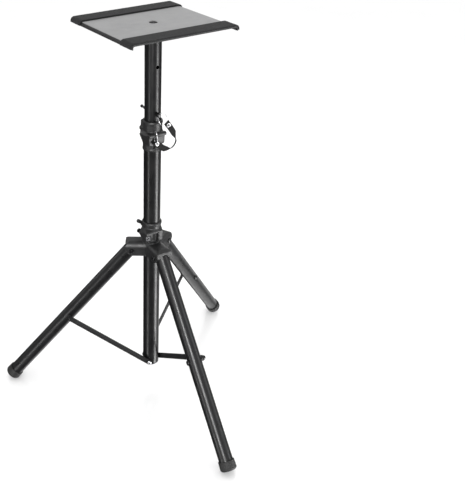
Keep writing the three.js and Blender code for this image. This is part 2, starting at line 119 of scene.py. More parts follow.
# ---- materials ----
class Nodes:
    """A material's node tree with short names for what is used here."""

    def __init__(self, name):
        self.material = bpy.data.materials.new(name)
        self.material.use_nodes = True
        self.tree = self.material.node_tree
        self.shader = self.tree.nodes["Principled BSDF"]
        self.coords = self.add("ShaderNodeTexCoord").outputs["Object"]

    def add(self, kind, **values):
        node = self.tree.nodes.new(kind)
        for key, value in values.items():
            if key in node.inputs:
                node.inputs[key].default_value = value
            else:
                setattr(node, key, value)
        return node

    def link(self, a, b):
        self.tree.links.new(a, b)

    def noise(self, scale, detail=3.0, rough=0.55, stretch=None):
        coords = self.coords
        if stretch:
            mapping = self.add("ShaderNodeMapping")
            mapping.inputs["Scale"].default_value = stretch
            self.link(coords, mapping.inputs["Vector"])
            coords = mapping.outputs["Vector"]
        node = self.add("ShaderNodeTexNoise", Scale=scale, Detail=detail, Roughness=rough)
        self.link(coords, node.inputs["Vector"])
        return node.outputs["Fac"]

    def cells(self, scale):
        node = self.add("ShaderNodeTexVoronoi", Scale=scale)
        self.link(self.coords, node.inputs["Vector"])
        return node.outputs["Distance"]

    def ramp(self, fac, stops):
        node = self.add("ShaderNodeValToRGB")
        elements = node.color_ramp.elements
        while len(elements) < len(stops):
            elements.new(0.5)
        for element, (place, colour) in zip(elements, stops):
            element.position = place
            element.color = (*colour, 1.0)
        self.link(fac, node.inputs["Fac"])
        return node.outputs["Color"]

    def spread(self, fac, low, high, start=0.3, end=0.7):
        node = self.add("ShaderNodeMapRange")
        for key, value in zip(("From Min", "From Max", "To Min", "To Max"), (start, end, low, high)):
            node.inputs[key].default_value = value
        self.link(fac, node.inputs["Value"])
        return node.outputs["Result"]

    def bump(self, height, distance, strength=1.0, under=None):
        node = self.add("ShaderNodeBump", Strength=strength, Distance=distance)
        self.link(height, node.inputs["Height"])
        if under:
            self.link(under, node.inputs["Normal"])
        return node.outputs["Normal"]


def shade(colour, factor):
    return tuple(c * factor for c in colour)


def paint(name, colour, rough, grain, depth, mottle=0.25, metallic=0.0, ior=1.45, wave=0.0, gloss=0.36,
          below=None):
    """Paint or moulded plastic: mottled colour, uneven gloss, fine grain, rubbed edges.

    A wave adds a broad unevenness. If a colour below is given, it is the paint's own colour on faces that do
    not look up, and the main colour stays only on upward faces as a painted sheen of the light from above.
    """
    n = Nodes(name)
    s = n.shader.inputs
    broad, fine = n.noise(22, 4), n.noise(grain, 2)
    tone = n.ramp(broad, [(0.3, shade(colour, 1 - mottle)), (0.7, shade(colour, 1 + mottle))])
    if below:
        # painted sheen: faces that look up get the lighter main colour, as if lit from above; other faces get
        # the colour below
        upward = n.add("ShaderNodeSeparateXYZ")
        n.link(n.add("ShaderNodeNewGeometry").outputs["Normal"], upward.inputs["Vector"])
        side = n.add("ShaderNodeMix", data_type="RGBA")
        n.link(n.spread(upward.outputs["Z"], 0.0, 1.0, 0.8, 0.9), side.inputs["Factor"])
        n.link(tone, side.inputs["B"])
        side.inputs["A"].default_value = (*below, 1.0)
        tone = side.outputs["Result"]
    point = n.add("ShaderNodeNewGeometry").outputs["Pointiness"]
    rub = n.add("ShaderNodeMath", operation="MULTIPLY")
    n.link(n.spread(point, 0.0, 1.0, 0.53, 0.62), rub.inputs[0])
    n.link(n.spread(n.noise(240, 5), 0.0, 0.5, 0.45, 0.7), rub.inputs[1])
    worn = n.add("ShaderNodeMix", data_type="RGBA")
    n.link(rub.outputs[0], worn.inputs["Factor"])
    n.link(tone, worn.inputs["A"])
    worn.inputs["B"].default_value = (*(min(1.0, c * 3 + 0.03) for c in colour), 1.0)
    n.link(worn.outputs["Result"], s["Base Color"])
    n.link(n.spread(n.noise(60, 5), rough - 0.06, rough + 0.07), s["Roughness"])
    low = n.bump(n.noise(70, 2), 0.0002, wave) if wave else None
    n.link(n.bump(fine, depth, 1.0, low), s["Normal"])
    s["Metallic"].default_value = metallic
    s["IOR"].default_value = ior
    s["Specular IOR Level"].default_value = gloss
    return n.material


def metal(name, colour, rough, stretch=None):
    """Plated or bare metal with fine tool marks and dull patches."""
    n = Nodes(name)
    s = n.shader.inputs
    n.link(n.ramp(n.noise(90, 4), [(0.3, shade(colour, 0.8)), (0.7, colour)]), s["Base Color"])
    n.link(n.spread(n.noise(400, 5), rough - 0.08, rough + 0.12), s["Roughness"])
    n.link(n.bump(n.noise(900, 3, 0.6, stretch), 0.00003, 0.6), s["Normal"])
    s["Metallic"].default_value = 1.0
    return n.material


def foam(name, colour):
    """Closed-cell foam: small open pores on the cut skin and a dusty, uneven tone."""
    n = Nodes(name)
    s = n.shader.inputs
    pores, clumps = n.cells(900), n.noise(160, 5, 0.65)
    n.link(n.ramp(clumps, [(0.3, shade(colour, 0.7)), (0.72, shade(colour, 1.35))]), s["Base Color"])
    n.link(n.spread(clumps, 0.82, 0.98), s["Roughness"])
    n.link(n.bump(pores, 0.0004, 0.6, n.bump(clumps, 0.0006, 0.5)), s["Normal"])
    s["IOR"].default_value = 1.35
    s["Specular IOR Level"].default_value = 0.3
    s["Sheen Weight"].default_value = 0.05
    s["Sheen Roughness"].default_value = 0.6
    return n.material


def webbing(name, colour):
    """Woven tape: the warp and weft follow the strap's own length and width."""
    n = Nodes(name)
    s = n.shader.inputs
    uv = n.add("ShaderNodeUVMap", uv_map="tape").outputs["UV"]
    waves = []
    for direction, scale in (("X", 0.5), ("Y", 0.42)):
        wave = n.add("ShaderNodeTexWave", Scale=scale, Distortion=0.6, wave_type="BANDS",
                     bands_direction=direction)
        wave.inputs["Detail Scale"].default_value = 3.0
        n.link(uv, wave.inputs["Vector"])
        waves.append(wave.outputs["Fac"])
    weave = n.add("ShaderNodeMath", operation="MULTIPLY")
    n.link(waves[0], weave.inputs[0])
    n.link(waves[1], weave.inputs[1])
    fuzz = n.noise(1600, 4)
    tone = n.ramp(weave.outputs[0], [(0.05, shade(colour, 0.45)), (0.8, shade(colour, 1.5))])
    n.link(tone, s["Base Color"])
    n.link(n.spread(fuzz, 0.62, 0.9), s["Roughness"])
    n.link(n.bump(weave.outputs[0], 0.0005, 0.8, n.bump(fuzz, 0.0002, 0.5)), s["Normal"])
    s["Specular IOR Level"].default_value = 0.2
    s["Sheen Weight"].default_value = 0.03
    s["Sheen Roughness"].default_value = 0.4
    return n.material


FINISH = {
    "tube_paint": paint("black_satin_paint", (0.006, 0.006, 0.0064), 0.33, 1300, 0.00003, ior=1.42,
                        gloss=0.33),
    "leg_paint": paint("black_leg_paint", (0.007, 0.007, 0.0074), 0.31, 1300, 0.00003, ior=1.42,
                       gloss=0.34),
    "brace_paint": paint("black_brace_paint", (0.011, 0.011, 0.0115), 0.4, 1500, 0.00004),
    # a black plate: the grey on its upward faces is a painted sheen of the light from above, the flanges and
    # underside keep the paint's own black
    "platform_grey": paint("black_paint_painted_top_sheen", (0.27, 0.27, 0.272), 0.62, 1900, 0.00008, 0.05,
                           below=(0.014, 0.014, 0.0145)),
    "casting_plastic": paint("moulded_nylon", (0.013, 0.013, 0.0135), 0.44, 1700, 0.00007, wave=0.12),
    "knob_plastic": paint("knob_plastic", (0.012, 0.012, 0.012), 0.5, 1700, 0.00006, wave=0.12),
    "plug_plastic": paint("plug_plastic", (0.015, 0.015, 0.015), 0.5, 1700, 0.00005, wave=0.12),
    "fastener_black": paint("black_oxide", (0.008, 0.008, 0.0085), 0.24, 2400, 0.00002, metallic=0.3),
    "pin_black": paint("black_pin", (0.006, 0.006, 0.0065), 0.3, 2200, 0.00002, metallic=0.2),
    "foot_rubber": paint("foot_rubber", (0.012, 0.012, 0.012), 0.6, 1500, 0.00009, wave=0.15),
    "zinc": metal("zinc_plate", (0.5, 0.5, 0.51), 0.28, (1.0, 1.0, 6.0)),
    "dull_zinc": metal("dull_zinc_plate", (0.12, 0.12, 0.125), 0.6, (1.0, 1.0, 6.0)),
    "foam": foam("black_foam", (0.009, 0.009, 0.0095)),
    "webbing": webbing("black_webbing", (0.005, 0.005, 0.005)),
}
SLOT_OF = {
    "zinc": ["platform_washer", "collar_stud", "hub_stud"],
    "dull_zinc": ["hub_clamp_nut"],
    "plug_plastic": ["pole_slide_bush", "pole_top_plug"] + [f"{leg}_leg_plug" for leg in LEGS],
    "casting_plastic": [f"{leg}_brace_spacer" for leg in LEGS],
    "fastener_black": ["hub_clamp_screw"],
}
for finish, nodes in SLOT_OF.items():
    for node in nodes:
        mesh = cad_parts[node].data
        mesh.materials.clear()
        mesh.materials.append(FINISH[finish])


# ---- drawing helpers: everything is drawn in millimetres about the post's axis ----
def arc(cx, cz, r, a0, a1, steps=6):
    """Points round a circle from angle a0 to a1, in degrees."""
    turns = [math.radians(a0 + (a1 - a0) * i / steps) for i in range(steps + 1)]
    return [(cx + r * math.cos(a), cz + r * math.sin(a)) for a in turns]


def hexagon(flats, angle):
    """Radius of a hexagon with that distance across flats, at an angle in radians."""
    part = (angle + math.pi / 6) % (math.pi / 3) - math.pi / 6
    return flats / 2 / math.cos(part)


def lathe(profile, segments=64, closed=False):
    """Turns (radius, height) points about +Z. A radius may be a function of the angle."""
    bm = bmesh.new()
    rings = []
    for r, z in profile:
        if not callable(r) and r < 1e-6:
            rings.append([bm.verts.new((0, 0, z))])
            continue
        ring = []
        for i in range(segments):
            a = 2 * math.pi * i / segments
            reach = r(a) if callable(r) else r
            ring.append(bm.verts.new((reach * math.cos(a), reach * math.sin(a), z)))
        rings.append(ring)
    pairs = list(zip(rings, rings[1:])) + ([(rings[-1], rings[0])] if closed else [])
    for a, b in pairs:
        for i in range(segments):
            j = (i + 1) % segments
            if len(a) == 1:
                bm.faces.new((a[0], b[i], b[j]))
            elif len(b) == 1:
                bm.faces.new((a[i], b[0], a[j]))
            else:
                bm.faces.new((a[i], b[i], b[j], a[j]))
    bmesh.ops.recalc_face_normals(bm, faces=bm.faces)
    return bm


def tube(ri, ro, z0, z1, segments=96, lip=0.35):
    """A tube with its four rims broken."""
    return lathe([(ri, z0 + lip), (ri + lip, z0), (ro - lip, z0), (ro, z0 + lip), (ro, z0 + 3), (ro, z1 - 3),
                  (ro, z1 - lip), (ro - lip, z1), (ri + lip, z1), (ri, z1 - lip)], segments, closed=True)


def loft(sections, closed=False):
    """Joins equal rings of points with quads; caps both ends unless closed."""
    bm = bmesh.new()
    rings = [[bm.verts.new(p) for p in ring] for ring in sections]
    count = len(rings[0])
    pairs = list(zip(rings, rings[1:])) + ([(rings[-1], rings[0])] if closed else [])
    for a, b in pairs:
        for i in range(count):
            j = (i + 1) % count
            bm.faces.new((a[i], b[i], b[j], a[j]))
    if not closed:
        bm.faces.new(rings[0])
        bm.faces.new(rings[-1][::-1])
    bmesh.ops.recalc_face_normals(bm, faces=bm.faces)
    return bm


def smooth_line(points, count, closed=False):
    """Centripetal Catmull-Rom line through the points, cut at even lengths."""
    p = [Vector(q) for q in points]
    ends = [p[-1], *p, p[0], p[1]] if closed else [2 * p[0] - p[1], *p, 2 * p[-1] - p[-2]]
    fine = []
    for a, b, c, d in zip(ends, ends[1:], ends[2:], ends[3:]):
        t0 = 0.0
        t1 = t0 + (b - a).length ** 0.5
        t2 = t1 + (c - b).length ** 0.5
        t3 = t2 + (d - c).length ** 0.5
        for i in range(40):
            t = t1 + (t2 - t1) * i / 40
            a1 = a.lerp(b, (t - t0) / (t1 - t0))
            a2 = b.lerp(c, (t - t1) / (t2 - t1))
            a3 = c.lerp(d, (t - t2) / (t3 - t2))
            b1 = a1.lerp(a2, (t - t0) / (t2 - t0))
            b2 = a2.lerp(a3, (t - t1) / (t3 - t1))
            fine.append(b1.lerp(b2, (t - t1) / (t2 - t1)))
    fine.append(fine[0].copy() if closed else p[-1])
    run = [0.0]
    for a, b in zip(fine, fine[1:]):
        run.append(run[-1] + (b - a).length)
    out, k = [], 0
    for i in range(count if closed else count + 1):
        want = run[-1] * i / count
        while k < len(run) - 2 and run[k + 1] < want:
            k += 1
        share = (want - run[k]) / max(run[k + 1] - run[k], 1e-9)
        out.append(fine[k].lerp(fine[k + 1], share))
    return out


def wire(points, radius, closed=False, sides=12):
    """A round wire along the points."""
    n = len(points)
    sections, side = [], None
    for i, p in enumerate(points):
        a = points[(i - 1) % n] if closed or i else p
        b = points[(i + 1) % n] if closed or i < n - 1 else p
        t = (b - a).normalized()
        side = (side - t * side.dot(t)).normalized() if side else t.orthogonal().normalized()
        up = side.cross(t)
        sections.append([p + side * radius * math.cos(2 * math.pi * k / sides)
                         + up * radius * math.sin(2 * math.pi * k / sides) for k in range(sides)])
    return loft(sections, closed)


def box(x0, x1, y0, y1, z0, z1):
    """A plain block, used only as a cutter or as one lump of a casting."""
    return loft([[(x0, y0, z), (x1, y0, z), (x1, y1, z), (x0, y1, z)] for z in (z0, z1)])


def block(name, bm, place=SAME):
    """The drawing as a mesh object in the row frame."""
    mesh = bpy.data.meshes.new(name)
    bm.to_mesh(mesh)
    bm.free()
    mesh.transform(TO_ROW @ place)
    obj = bpy.data.objects.new(name, mesh)
    scene.collection.objects.link(obj)
    return obj


def bake(obj):
    """Applies the object's modifiers to its mesh."""
    bpy.context.view_layer.update()
    graph = bpy.context.evaluated_depsgraph_get()
    mesh = bpy.data.meshes.new_from_object(obj.evaluated_get(graph), preserve_all_data_layers=True,
                                           depsgraph=graph)
    obj.modifiers.clear()
    obj.data = mesh
    return obj


def cut(obj, *cutters):
    """Takes the cutters (drawing, place) out of the object."""
    tools = []
    for bm, place in cutters:
        tool = block("cutter", bm, place)
        modifier = obj.modifiers.new("cut", "BOOLEAN")
        modifier.object, modifier.operation, modifier.solver = tool, "DIFFERENCE", "EXACT"
        tools.append(tool)
    bake(obj)
    for tool in tools:
        bpy.data.objects.remove(tool)
    return obj


def bevel(obj, width, segments=3, angle=35):
    """Rounds the object's sharp edges, width in millimetres."""
    modifier = obj.modifiers.new("bevel", "BEVEL")
    modifier.width, modifier.segments = width * MM, segments
    modifier.limit_method, modifier.angle_limit = "ANGLE", math.radians(angle)
    return bake(obj)


def mould(obj, *lumps, voxel=0.8, passes=4):
    """Melts the object and the lumps (drawing, place) into one casting with soft edges."""
    bm = bmesh.new()
    bm.from_mesh(obj.data)
    bmesh.ops.remove_doubles(bm, verts=bm.verts, dist=1e-6)
    for drawing, place in lumps:
        extra = bpy.data.meshes.new("lump")
        drawing.to_mesh(extra)
        drawing.free()
        extra.transform(TO_ROW @ place)
        bm.from_mesh(extra)
    bm.to_mesh(obj.data)
    bm.free()
    remesh = obj.modifiers.new("remesh", "REMESH")
    remesh.mode, remesh.voxel_size = "VOXEL", voxel * MM
    smooth = obj.modifiers.new("smooth", "SMOOTH")
    smooth.factor, smooth.iterations = 0.5, passes
    return bake(obj)


def copy_of(node, name):
    """A free copy of a CAD node's mesh, to be worked on as a new piece."""
    obj = bpy.data.objects.new(name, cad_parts[node].data.copy())
    scene.collection.objects.link(obj)
    return obj


def piece(obj, body, finish, *nodes, angle=35):
    """Shades the object, gives it its finish and rides it on a body in place of the CAD nodes."""
    mesh = obj.data
    mesh.shade_smooth()
    if angle:
        mesh.set_sharp_from_angle(angle=math.radians(angle))
    mesh.materials.clear()
    mesh.materials.append(FINISH[finish])
    if body:
        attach(obj, body)
    if nodes:
        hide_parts(*nodes)
    return obj


def around(degrees):
    """A turn about the post, with the tripod's own small twist."""
    return Matrix.Rotation(math.radians(degrees + TURN), 4, "Z")


def at(x, y, z):
    return Matrix.Translation((x, y, z))


# ---- post, pole and platform ----
piece(block("post_tube", tube(POST["ri"], POST["r"], POST["z0"], POST["z1"])),
      "post", "tube_paint", "centre_post")
piece(block("post_plug", lathe([(0, 55.8)] + arc(14.9, 59.0, 3.2, -90, -4, 8) + [(18.0, 58.5), (16.7, 58.5),
      (16.7, 68), (0, 68)], 72)), "post", "plug_plastic", "post_end_plug")
pole = block("pole_tube", tube(POLE["ri"], POLE["r"], POLE["z0"], POLE["z1"]))
holes = [HOLE_Z + HOLE_ABOVE] + [HOLE_Z - TRAVEL * k / STEPS for k in range(STEPS + 1)]
cut(pole, *((lathe([(0, -25), (HOLE_R, -25), (HOLE_R, 25), (0, 25)], 40), at(0, 0, z) @ ALONG_Y)
            for z in holes))
piece(pole, "pole", "tube_paint", "upper_pole", angle=28)


def plate_line(steps=8):
    """The pressed sheet's middle line across its width, with the two edges bent down."""
    hw, b, top = PLATE["w"] / 2, PLATE["bend"], PLATE["top"]
    mid = b - PLATE["t"] / 2
    flat = [-hw + b + 1 + i * (hw - b - 13) / 14 for i in range(14)] + [-12 + i for i in range(25)]
    flat += [-x for x in reversed(flat[:14])]
    left = [(-hw + b + mid * math.cos(a), top - b + mid * math.sin(a))
            for a in (math.radians(180 - 90 * i / steps) for i in range(steps + 1))]
    line = [(left[0][0], top - PLATE["flange"])] + left + [(x, top - PLATE["t"] / 2) for x in flat]
    return line + [(-x, z) for x, z in reversed(left)] + [(-left[0][0], top - PLATE["flange"])]


def offset(line, distance):
    """The line moved sideways, towards its upper side for a positive distance."""
    out = []
    for i, (x, z) in enumerate(line):
        x0, z0 = line[max(i - 1, 0)]
        x1, z1 = line[min(i + 1, len(line) - 1)]
        size = math.hypot(x1 - x0, z1 - z0)
        out.append((x - (z1 - z0) / size * distance, z + (x1 - x0) / size * distance))
    return out


def pressed(x, y, z):
    """The round dish that the platform screw sits in."""
    r = math.hypot(x, y)
    if z < PLATE["top"] - 4 or r > DISH["r"]:
        return z
    share = min(1.0, (DISH["r"] - r) / DISH["edge"])
    return z - DISH["depth"] * share * share * (3 - 2 * share)


line = plate_line()
sheet = offset(line, 0.99) + offset(line, -0.99)[::-1]
half = PLATE["d"] / 2
rows = [-half, -half + 0.4] + [-half + 2 + i * (half - 14) / 12 for i in range(12)]
rows += [-12 + i for i in range(25)]
rows += [-y for y in reversed(rows[:14])]
plate = block("platform_sheet", loft([[(x, y, pressed(x, y, z)) for x, z in sheet] for y in rows]))
piece(bevel(plate, 0.35, 2, 60), "pole", "platform_grey", "platform_plate", angle=40)


def strip(name, y0, y1):
    """A foam strip over the sheet, wrapped round both bends: soft rounded edges, slightly uneven skin."""
    hw, b = PLATE["w"] / 2, PLATE["bend"]
    base = [(-hw - GAP, PLATE["top"] + 0.15 - STRIP["wrap"])]
    base += [(-hw + b + (b + GAP) * math.cos(a), PLATE["top"] - b + 0.15 + (b + GAP) * math.sin(a))
             for a in (math.radians(180 - 9 * i) for i in range(11))]
    base += [(-hw + b + i * (2 * hw - 2 * b) / 60, PLATE["top"] + 0.15 + GAP) for i in range(1, 60)]
    base += [(-x, z) for x, z in reversed(base[:12])]
    sections = []
    for i, (x, z) in enumerate(base):
        x0, z0 = base[max(i - 1, 0)]
        x1, z1 = base[min(i + 1, len(base) - 1)]
        size = math.hypot(x1 - x0, z1 - z0)
        nx, nz = -(z1 - z0) / size, (x1 - x0) / size
        ring = [(y0 + 0.2, 0.0), (y1 - 0.2, 0.0)]
        for cy, start in ((y1 - 1.3, 0), (y0 + 1.3, 90)):
            ring += [(cy + 1.25 * math.cos(a), STRIP["t"] - 1.4 + 1.25 * math.sin(a))
                     for a in (math.radians(start + 15 * k) for k in range(7))]
            if start == 0:
                ring += [(y1 - 1.3 - (y1 - y0 - 2.6) * k / 10, STRIP["t"] - 0.15) for k in range(1, 10)]
        section = []
        for y, h in ring:
            wobble = 0.13 * noise.noise(Vector((x * 0.09, y * 0.16, z * 0.09))) if h > 0.5 else 0.0
            section.append((x + nx * (h + wobble), y, z + nz * (h + wobble)))
        sections.append(section)
    obj = bevel(block(name, loft(sections)), 0.6, 3, 60)
    return piece(obj, "pole", "foam", name.replace("pad", "foam_strip"), angle=50)


strip("front_pad", -half, -half + STRIP["w"])
strip("rear_pad", half - STRIP["w"], half)

head = PLATE["top"] - 1.5
screw = block("platform_bolt", lathe([(0, 836), (2.9, 836), (2.9, head - 1.2), (3.4, head), (7.6, head + 0.1)]
                                     + arc(5.8, head + 0.9, 2.0, -20, 90, 8) + [(0, head + 3.0)], 48))
cut(screw, (box(-4.2, 4.2, -0.8, 0.8, head + 1.1, head + 9), at(0, 0, 0)),
    (box(-0.8, 0.8, -4.2, 4.2, head + 1.1, head + 9), at(0, 0, 0)))
piece(screw, "pole", "fastener_black", "platform_screw")

# ---- height collar, pin and tether ----
collar = mould(copy_of("height_collar", "collar_casting"), voxel=0.7, passes=5)
piece(collar, "post", "casting_plastic", "height_collar", angle=None)


def knob(name, z, lean, place, body, node):
    """A T handle: waisted bar with swollen ends on a short fluted stem."""
    flutes = lambda r: (lambda a: r + 0.35 * math.cos(9 * a))
    stem = lathe([(0, 30), (6.1, 30), (6.6, 30.8), (flutes(6.7), 32), (flutes(6.1), 40), (4, 43.6),
                  (0, 44)], 72)
    bar = [(0.0, -18.9)] + [(4.4 * math.sin(a) ** 0.8, -14.6 - 4.3 * math.cos(a))
                            for a in (math.radians(15 * i) for i in range(1, 7))]
    bar += [(4.4 - 0.5 * math.sin(math.pi * i / 12), -14.6 + 29.2 * i / 12) for i in range(1, 12)]
    bar += [(r, -h) for r, h in reversed(bar[:7])]
    tilt = place @ at(0, 0, z) @ Matrix.Rotation(math.radians(lean), 4, "Y")
    handle = lathe(bar, 48), tilt @ at(0, 38, 0)
    obj = mould(block(name, stem, tilt @ ALONG_Y), handle, voxel=0.45, passes=4)
    return piece(obj, body, "knob_plastic", node, angle=None)


knob("collar_t_knob", COLLAR_KNOB_Z, 4, SAME, "collar_knob_body", "collar_knob")

PIN_EYE = Vector((0, -22, HOLE_Z))
RING_R = 14.8
ring_x = Vector((0.63, -0.235, -0.74)).normalized()
ring_y = Vector((0.70, 0.58, 0.415))
ring_y = (ring_y - ring_x * ring_y.dot(ring_x)).normalized()
ring_z = ring_x.cross(ring_y)
upper_eye, lower_eye = PIN_EYE + ring_x * 2 * RING_R, Vector((-6.6, -26.4, 621.9))
pin = block("pin_body", lathe([(0, -25.8)] + arc(2.2, -23.6, 2.2, -90, -35, 5)
            + arc(3.1, -22.7, 1.5, -30, 0, 3)
            + [(4.6, -18.2), (4.2, -17.3), (3.2, -17.2), (3.2, 30.2), (2.2, 31.2), (2.2, 37.4)]
            + arc(0, 40.2, 3.4, -50, 88, 14) + [(0, 43.6)], 40), at(0, 0, HOLE_Z) @ ALONG_Y)
bore = Vector((0, 0, 1)).rotation_difference(ring_y).to_matrix().to_4x4()
eye_hole = lathe([(0, -12), (1.8, -12), (1.8, 12), (0, 12)], 24)
cut(pin, (eye_hole, Matrix.Translation(PIN_EYE + ring_x * 0.6) @ bore))
piece(pin, "pin", "pin_black", "locking_pin")
coil = []
for i in range(0, 141):                       # a split ring: the wire goes round nearly twice
    a = 2 * math.pi * 1.94 * i / 140 + 1.0
    rise = 0.4 * math.tanh((i - 70) / 9)
    spoke = (ring_x * math.cos(a) + ring_y * math.sin(a)) * RING_R
    coil.append(PIN_EYE + ring_x * RING_R + spoke + ring_z * rise)
piece(block("pin_split_ring", wire(coil, 0.42)), "pin", "zinc", "pin_ring")

STRAP = [(-12, -26.4, 626.6), tuple(lower_eye), (2.6, -27, 613.8), (11.2, -27.8, 608),
         (22.6, -28.4, 604.9), (32.6, -28.4, 609.4), (37.8, -28.4, 618.8), (36.4, -28.4, 629.2),
         (28.9, -28.8, 643), tuple(upper_eye), (13, -29.4, 665.4)]
EDGE_ON = Vector((0.39, 0.835, -0.39))       # the tape stands on its edge along this line, half way round


def step(x, a, b):
    x = min(1.0, max(0.0, (x - a) / (b - a)))
    return x * x * (3 - 2 * x)


def strap(name):
    """The tether: woven tape that turns on its side through the bend, with folded edges."""
    count, width, thick, across = 150, 6.3, 0.62, 12
    path = smooth_line(STRAP, count)
    sections = []
    for i, p in enumerate(path):
        u = i / count
        t = (path[min(i + 1, count)] - path[max(i - 1, 0)]).normalized()
        flat = Vector((0, 1, 0)).cross(t).normalized()
        k = step(u, 0.22, 0.4) * (1 - step(u, 0.56, 0.76)) * math.pi / 2
        side = flat * math.cos(k) + EDGE_ON * math.sin(k)
        side = (side - t * side.dot(t)).normalized()
        up = side.cross(t).normalized()
        ring = []
        for top in (1, -1):
            for j in range(across + 1):
                v = (2 * j / across - 1) * top
                edge = 1 - max(0.0, abs(v) - 0.86) / 0.14 * 0.55
                ring.append(p + side * v * width + up * top * thick * edge)
        sections.append(ring)
    bm = loft(sections)
    layer = bm.loops.layers.uv.new("tape")
    per = 2 * (across + 1)
    bm.verts.index_update()
    for face in bm.faces:
        for loop in face.loops:
            i, j = divmod(loop.vert.index, per)
            v = j if j <= across else 2 * across + 1 - j
            loop[layer].uv = (i * 1.12, v * 1.05)
    obj = piece(block(name, bm), None, "webbing", "tether_strap")
    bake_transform(obj)


strap("tether_tape")


def eyelet(name, where, body, node):
    """A rolled eyelet: a barrel with a domed flange on each face of the tape."""
    profile = [(2.3, -0.9)] + arc(3.5, -0.95, 1.1, 170, 360, 12) + [(4.3, -0.85), (2.8, -0.8), (2.7, 0.8),
               (4.0, 0.85), (4.2, 1.15), (3.7, 1.45), (2.6, 1.3), (2.3, 0.9)]
    obj = block(name, lathe(profile, 40, closed=True), Matrix.Translation(where) @ ALONG_Y)
    return piece(obj, body, "zinc", node, angle=60)


eyelet("upper_eyelet", upper_eye, "pin", "upper_strap_eyelet")
eyelet("lower_eyelet", lower_eye, "post", "lower_strap_eyelet")
LOOP = [(-7.6, y, z) for y, z in (
    (-19.4, 627.3), (-19.4, 635.3), (-19.4, 643.7), (-20.7, 647), (-23.4, 647.4),
    (-27, 643.3), (-29.4, 635.3), (-30, 627.3), (-29, 621.9), (-24.3, 621.3))]
piece(block("tether_loop", wire(smooth_line(LOOP, 80, closed=True), 0.75, closed=True)), "post", "zinc",
      "tether_ring")

# ---- tripod hub ----
hub = mould(copy_of("tripod_hub", "hub_casting"), voxel=0.8, passes=5)
piece(hub, "hub", "casting_plastic", "tripod_hub", angle=None)
knob("hub_t_knob", HUB_KNOB_Z, -55, around(0), "hub_knob_body", "hub_knob")


# ---- legs ----
def leg_line(azimuth):
    """From a drawing along the leg (height = distance from the pivot) to its place."""
    s, c = math.sin(LEAN), math.cos(LEAN)
    return around(azimuth) @ Matrix(((-c, 0, s, PIVOT_R), (0, 1, 0, 0), (-s, 0, -c, PIVOT_Z), (0, 0, 0, 1)))


ring_s = (PIVOT_Z - (FOOT_R - FOOT_ROUND) * math.sin(LEAN) - FOOT_ROUND) / math.cos(LEAN)
leg_end = ring_s + FOOT_ROUND


def foot_shape():
    """A rubber cup: rolled mouth, a groove, a middle band with round dimples, a rounded tread."""
    s, rim = ring_s, LEG["rim"]
    profile = [(0, leg_end), (6, leg_end), (6.6, leg_end - 0.7), (9.0, leg_end - 0.7), (9.6, leg_end)]
    profile += [(FOOT_R - FOOT_ROUND + FOOT_ROUND * math.sin(a), s + FOOT_ROUND * math.cos(a))
                for a in (math.radians(9 * i) for i in range(11))]
    profile += [(17.55, s - 1.0), (17.1, s - 1.5), (17.1, s - 2.2), (17.5, s - 2.7)]
    top = s - 2.7
    profile += [(17.5 - 0.3 * (top - z) / (top - rim - 4), z)
                for z in (top - (top - rim - 4) * i / 8 for i in range(1, 9))]
    profile += [(16.8, rim + 3.4), (16.8, rim + 2.6), (17.3, rim + 2.0), (17.3, rim + 0.9), (17.0, rim + 0.2),
                (16.2, rim), (LEG["r"] + 0.25, rim + 0.4), (LEG["r"] + 0.25, rim + 6), (0, rim + 6)]
    bm = lathe(profile, 144)
    middle = (top + rim + 4) / 2
    for v in bm.verts:
        r = math.hypot(v.co.x, v.co.y)
        if r < 17.0 or not rim + 4 < v.co.z < top:
            continue
        a = math.atan2(v.co.y, v.co.x)
        near = (a / (math.pi / 8) + 0.5) % 1 - 0.5
        gap = math.hypot(near * math.pi / 8 * r, v.co.z - middle)
        dent = 0.9 * max(0.0, 1 - (gap / 1.9) ** 2)
        v.co.x *= (r - dent) / r
        v.co.y *= (r - dent) / r
    return bm


def bolt(head_y, head_r, head_h, shank_r, tip_y):
    """Button-head bolt along +Y with a hex socket in its head."""
    top = head_y - head_h
    socket = lambda a: hexagon(head_r * 0.72, a)
    curve = [(head_r * math.cos(a), head_y - head_h * 0.25 - head_h * 0.75 * math.sin(a))
             for a in (math.radians(12 * i) for i in range(6))]
    profile = [(0, top + head_h * 0.62), (socket, top + head_h * 0.55), (socket, top + 0.15)]
    profile += [(head_r * 0.43, top + 0.02)] + curve[::-1]
    profile += [(head_r, head_y - 0.2), (head_r - 0.3, head_y), (shank_r, head_y)]
    profile += [(shank_r - (0.22 if i % 2 else 0.0), tip_y - 6.0 + 0.4 * i) for i in range(13)]
    return lathe(profile + [(shank_r, tip_y - 0.6), (shank_r - 0.6, tip_y), (0, tip_y)], 48)


def nut(y0, y1, flats, bore_r):
    """Hex lock nut: chamfered corners and a round collar that holds the insert."""
    corner = flats / math.sqrt(3)
    full = lambda a: min(hexagon(flats, a), corner * 0.985)
    chamfer = lambda a: min(hexagon(flats, a), flats * 0.5)
    body = y1 - (y1 - y0) * 0.3
    return lathe([(bore_r, y0), (chamfer, y0), (full, y0 + 0.5), (full, body - 0.5), (chamfer, body),
                  (flats * 0.44, body + 0.05), (flats * 0.42, y1 - 0.4), (flats * 0.37, y1),
                  (bore_r + 0.5, y1), (bore_r, y1 - 0.5)], 72, closed=True)


tie_x, tie_z = PIVOT_R + TIE_S * math.sin(LEAN), PIVOT_Z - TIE_S * math.cos(LEAN)
brace_length = math.hypot(tie_x - TIE_R, tie_z - TIE_Z)
brace_angle = math.atan2(tie_z - TIE_Z, tie_x - TIE_R)


